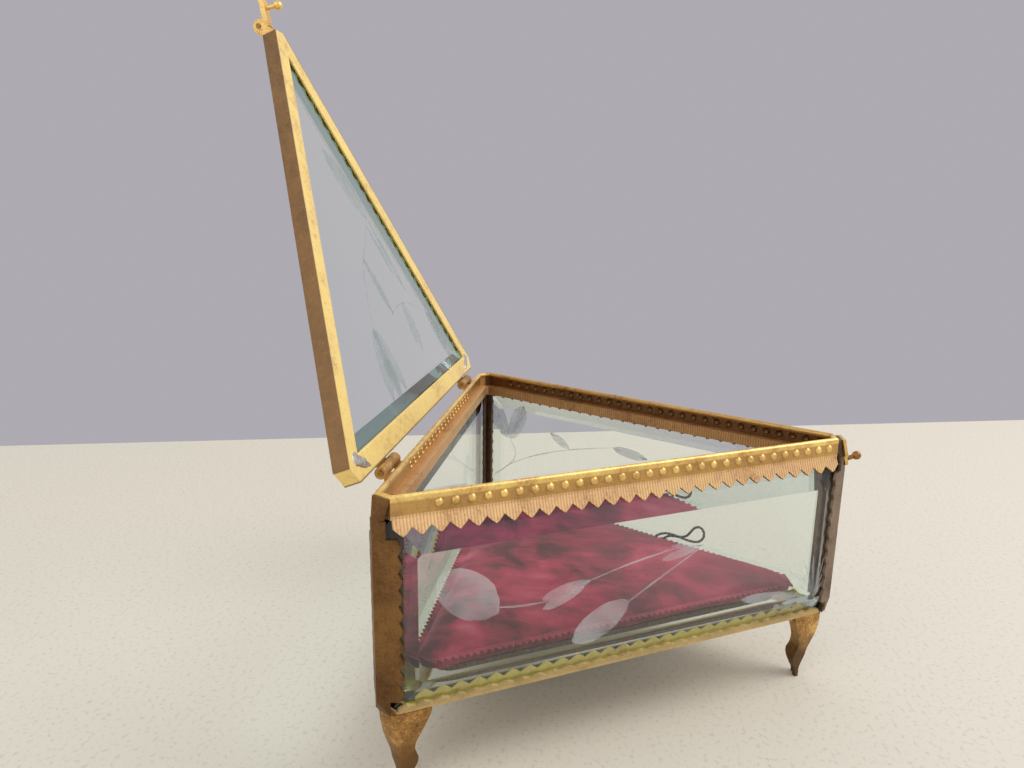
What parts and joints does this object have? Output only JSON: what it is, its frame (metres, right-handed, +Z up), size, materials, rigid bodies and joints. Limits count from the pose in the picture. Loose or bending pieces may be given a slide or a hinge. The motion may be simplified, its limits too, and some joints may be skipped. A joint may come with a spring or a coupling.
{
  "type": "glass casket box",
  "caption": "Triangular bevelled-glass casket in toothed gilt brass galleries, with a hinged lid, a snap clasp and a velvet pad.",
  "frame": {"origin": "middle of the open casket's outline, on the table", "axes": "+X along the hinge side, +Y from the clasp corner towards the hinges, +Z up"},
  "size_m": [0.1044, 0.1338, 0.1507],
  "materials": {
    "glass": "bevelled clear glass with a faint sea-green edge",
    "gilt_gallery": "worn gilding",
    "gilt_bottom": "worn gilding",
    "brown_post": "dark patina",
    "gilt_foot": "rubbed gilding",
    "lid_brass": "brown patina with rubbed edges",
    "hinge_plate": "greyed by solder",
    "pin_brass": "dull",
    "clasp_gilt": "bright gilding",
    "board": "plain card",
    "velvet": "crimson velvet",
    "thread": "waxed thread"
  },
  "bodies": {
    "box": {"left_glass": "glass", "right_glass": "glass", "back_glass": "glass", "base_glass": "glass", "left_rim": "gilt_gallery", "right_rim": "gilt_gallery", "back_rim": "gilt_gallery", "left_top_rail": "gilt_gallery", "right_top_rail": "gilt_gallery", "back_top_rail": "gilt_gallery", "left_bottom_rail": "gilt_bottom", "right_bottom_rail": "gilt_bottom", "back_bottom_rail": "gilt_bottom", "left_post": "brown_post", "right_post": "brown_post", "front_post": "brown_post", "left_foot": "gilt_foot", "right_foot": "gilt_foot", "front_foot": "gilt_foot", "left_hinge_body_leaf": "hinge_plate", "right_hinge_body_leaf": "hinge_plate", "left_hinge_pin": "pin_brass", "right_hinge_pin": "pin_brass", "catch_plate": "clasp_gilt", "catch_bead": "brown_post", "pad_board": "board", "pad_cushion": "velvet", "pull_loop": "thread"},
    "lid": {"lid_glass": "glass", "lid_left_rail": "lid_brass", "lid_right_rail": "lid_brass", "lid_back_rail": "lid_brass", "left_hinge_lid_leaf": "hinge_plate", "right_hinge_lid_leaf": "hinge_plate", "hasp_ears": "lid_brass", "hasp_pin": "pin_brass"},
    "hasp": {"hasp": "clasp_gilt", "hasp_bead": "clasp_gilt"}
  },
  "joints": [
    {"name": "lid_hinge", "type": "hinge", "parent": "box", "child": "lid", "pos_m": [0, 0.02851, 0.0586], "axis": [1, 0, 0], "range_deg": [0, 111.5]},
    {"name": "hasp_hinge", "type": "hinge", "parent": "lid", "child": "hasp", "pos_m": [0, 0.06527, 0.14293], "axis": [1, 0, 0], "range_deg": [-30, 17]}
  ]
}
